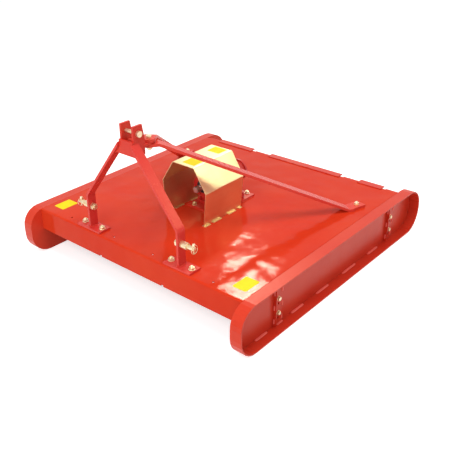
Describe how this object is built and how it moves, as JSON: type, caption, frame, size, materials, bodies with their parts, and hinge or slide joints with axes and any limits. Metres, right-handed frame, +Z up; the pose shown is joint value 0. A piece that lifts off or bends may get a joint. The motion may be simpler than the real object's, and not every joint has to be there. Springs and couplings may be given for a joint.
{
  "type": "three-point hitch rotary topper mower",
  "caption": "Flat-deck rotary mower for a three-point hitch: sheet deck between two rounded skids, A-frame mast with stays, guarded gearbox and swinging blades below.",
  "frame": {"origin": "on the ground under the middle of the two skids", "axes": "+Z up, +Y towards the rear of the machine, +X to the side on the right when the machine is seen from its hitch"},
  "size_m": [1.525, 1.652, 0.883],
  "materials": {
    "red_paint": "gloss",
    "zinc": "satin",
    "guard_sheet": "satin",
    "cast_red": "satin",
    "bare_steel": "satin",
    "rubber": "matte"
  },
  "bodies": {
    "frame": {"deck": "red_paint", "side_plate_left": "red_paint", "side_plate_right": "red_paint", "rear_strips": "red_paint", "flap_rod": "zinc", "deck_beams": "red_paint", "skid_left": "red_paint", "skid_right": "red_paint", "skid_angles_left": "red_paint", "skid_angles_right": "red_paint", "mast_foot_left": "red_paint", "mast_foot_right": "red_paint", "mast_leg_left": "red_paint", "mast_leg_right": "red_paint", "mast_web": "red_paint", "top_link_ear_left": "red_paint", "top_link_ear_right": "red_paint", "top_link_pin": "zinc", "hitch_pin_left": "zinc", "hitch_pin_right": "zinc", "stay_tongue": "red_paint", "stay_bolt": "zinc", "stay_left": "red_paint", "stay_right": "red_paint", "gearbox_bed": "red_paint", "gearbox": "cast_red", "guard": "guard_sheet", "input_seal": "rubber"},
    "input": {"input_shaft": "bare_steel"},
    "rotor": {"rotor_hub": "bare_steel", "blade_carrier": "bare_steel", "blade_pins": "bare_steel"},
    "blade_left": {"blade_left": "bare_steel"},
    "blade_right": {"blade_right": "bare_steel"},
    "rear_flap": {"rear_flap": "red_paint"}
  },
  "joints": [
    {"name": "rotor_spin", "type": "hinge", "parent": "frame", "child": "rotor", "pos_m": [0, -0.044, 0.1], "axis": [0, 0, 1], "continuous": true},
    {"name": "input_spin", "type": "hinge", "parent": "frame", "child": "input", "pos_m": [0, -0.2, 0.401], "axis": [0, -1, 0], "continuous": true},
    {"name": "blade_left_swing", "type": "hinge", "parent": "rotor", "child": "blade_left", "pos_m": [-0.365, -0.044, 0.099], "axis": [0, 0, 1], "continuous": true},
    {"name": "blade_right_swing", "type": "hinge", "parent": "rotor", "child": "blade_right", "pos_m": [0.365, -0.044, 0.099], "axis": [0, 0, 1], "continuous": true},
    {"name": "rear_flap_swing", "type": "hinge", "parent": "frame", "child": "rear_flap", "pos_m": [0, 0.674, 0.245], "axis": [1, 0, 0], "range_deg": [0, 90]}
  ],
  "couplings": [
    {"joint": "input_spin", "follows": "rotor_spin", "ratio": -0.52}
  ]
}
